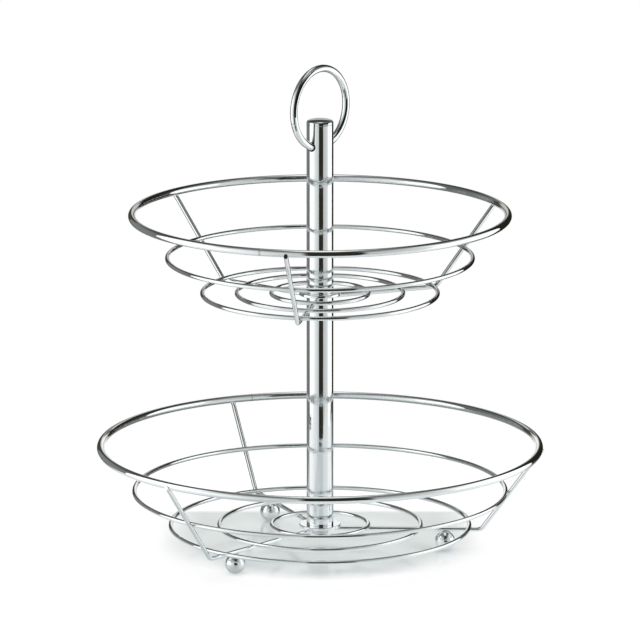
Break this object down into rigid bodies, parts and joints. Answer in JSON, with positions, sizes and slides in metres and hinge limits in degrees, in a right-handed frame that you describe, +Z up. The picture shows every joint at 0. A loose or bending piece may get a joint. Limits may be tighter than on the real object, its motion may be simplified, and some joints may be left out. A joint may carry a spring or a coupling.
{
  "type": "tiered wire basket",
  "caption": "Round chrome wire baskets stacked on a tube post, the wider one below on ball feet, with a swinging ring handle on top, for holding fruit.",
  "frame": {"origin": "on the floor under the middle of the post: the middle of the bounding box's bottom", "axes": "+Z up along the post; -Y towards the viewer of the picture, +X to the viewer's right"},
  "size_m": [0.3007, 0.3, 0.332],
  "materials": {
    "chrome_wire": "bright chrome plate on drawn wire",
    "chrome_ball": "bright chrome plate on a turned ball",
    "chrome_disc": "bright chrome plate on a pressed disc",
    "chrome_tube": "bright chrome plate on polished tube",
    "chrome_cap": "bright chrome plate on a turned cap",
    "chrome_handle": "bright chrome plate on a bent ring",
    "zinc_steel": "plain zinc plate"
  },
  "bodies": {
    "stand": {"lower_rim": "chrome_wire", "lower_mid_ring": "chrome_wire", "lower_base_ring_outer": "chrome_wire", "lower_base_ring_middle": "chrome_wire", "lower_base_ring_inner": "chrome_wire", "lower_rib_1": "chrome_wire", "lower_rib_2": "chrome_wire", "lower_rib_3": "chrome_wire", "upper_rim": "chrome_wire", "upper_mid_ring": "chrome_wire", "upper_base_ring_outer": "chrome_wire", "upper_base_ring_middle": "chrome_wire", "upper_base_ring_inner": "chrome_wire", "upper_rib_1": "chrome_wire", "upper_rib_2": "chrome_wire", "upper_rib_3": "chrome_wire", "foot_1": "chrome_ball", "foot_2": "chrome_ball", "foot_3": "chrome_ball", "lower_hub_disc": "chrome_disc", "upper_hub_disc": "chrome_disc", "lower_tube": "chrome_tube", "upper_tube": "chrome_tube", "end_cap": "chrome_cap", "lower_tube_bottom_insert": "zinc_steel", "lower_tube_top_insert": "zinc_steel", "upper_tube_insert": "zinc_steel", "joining_stud": "zinc_steel", "base_screw": "zinc_steel", "base_washer": "zinc_steel"},
    "handle": {"handle_ring": "chrome_handle"}
  },
  "joints": [
    {"name": "handle_swing", "type": "hinge", "parent": "stand", "child": "handle", "pos_m": [0, 0, 0.27795], "axis": [0.6534, 0.757, 0], "range_deg": [-165, 165]}
  ]
}
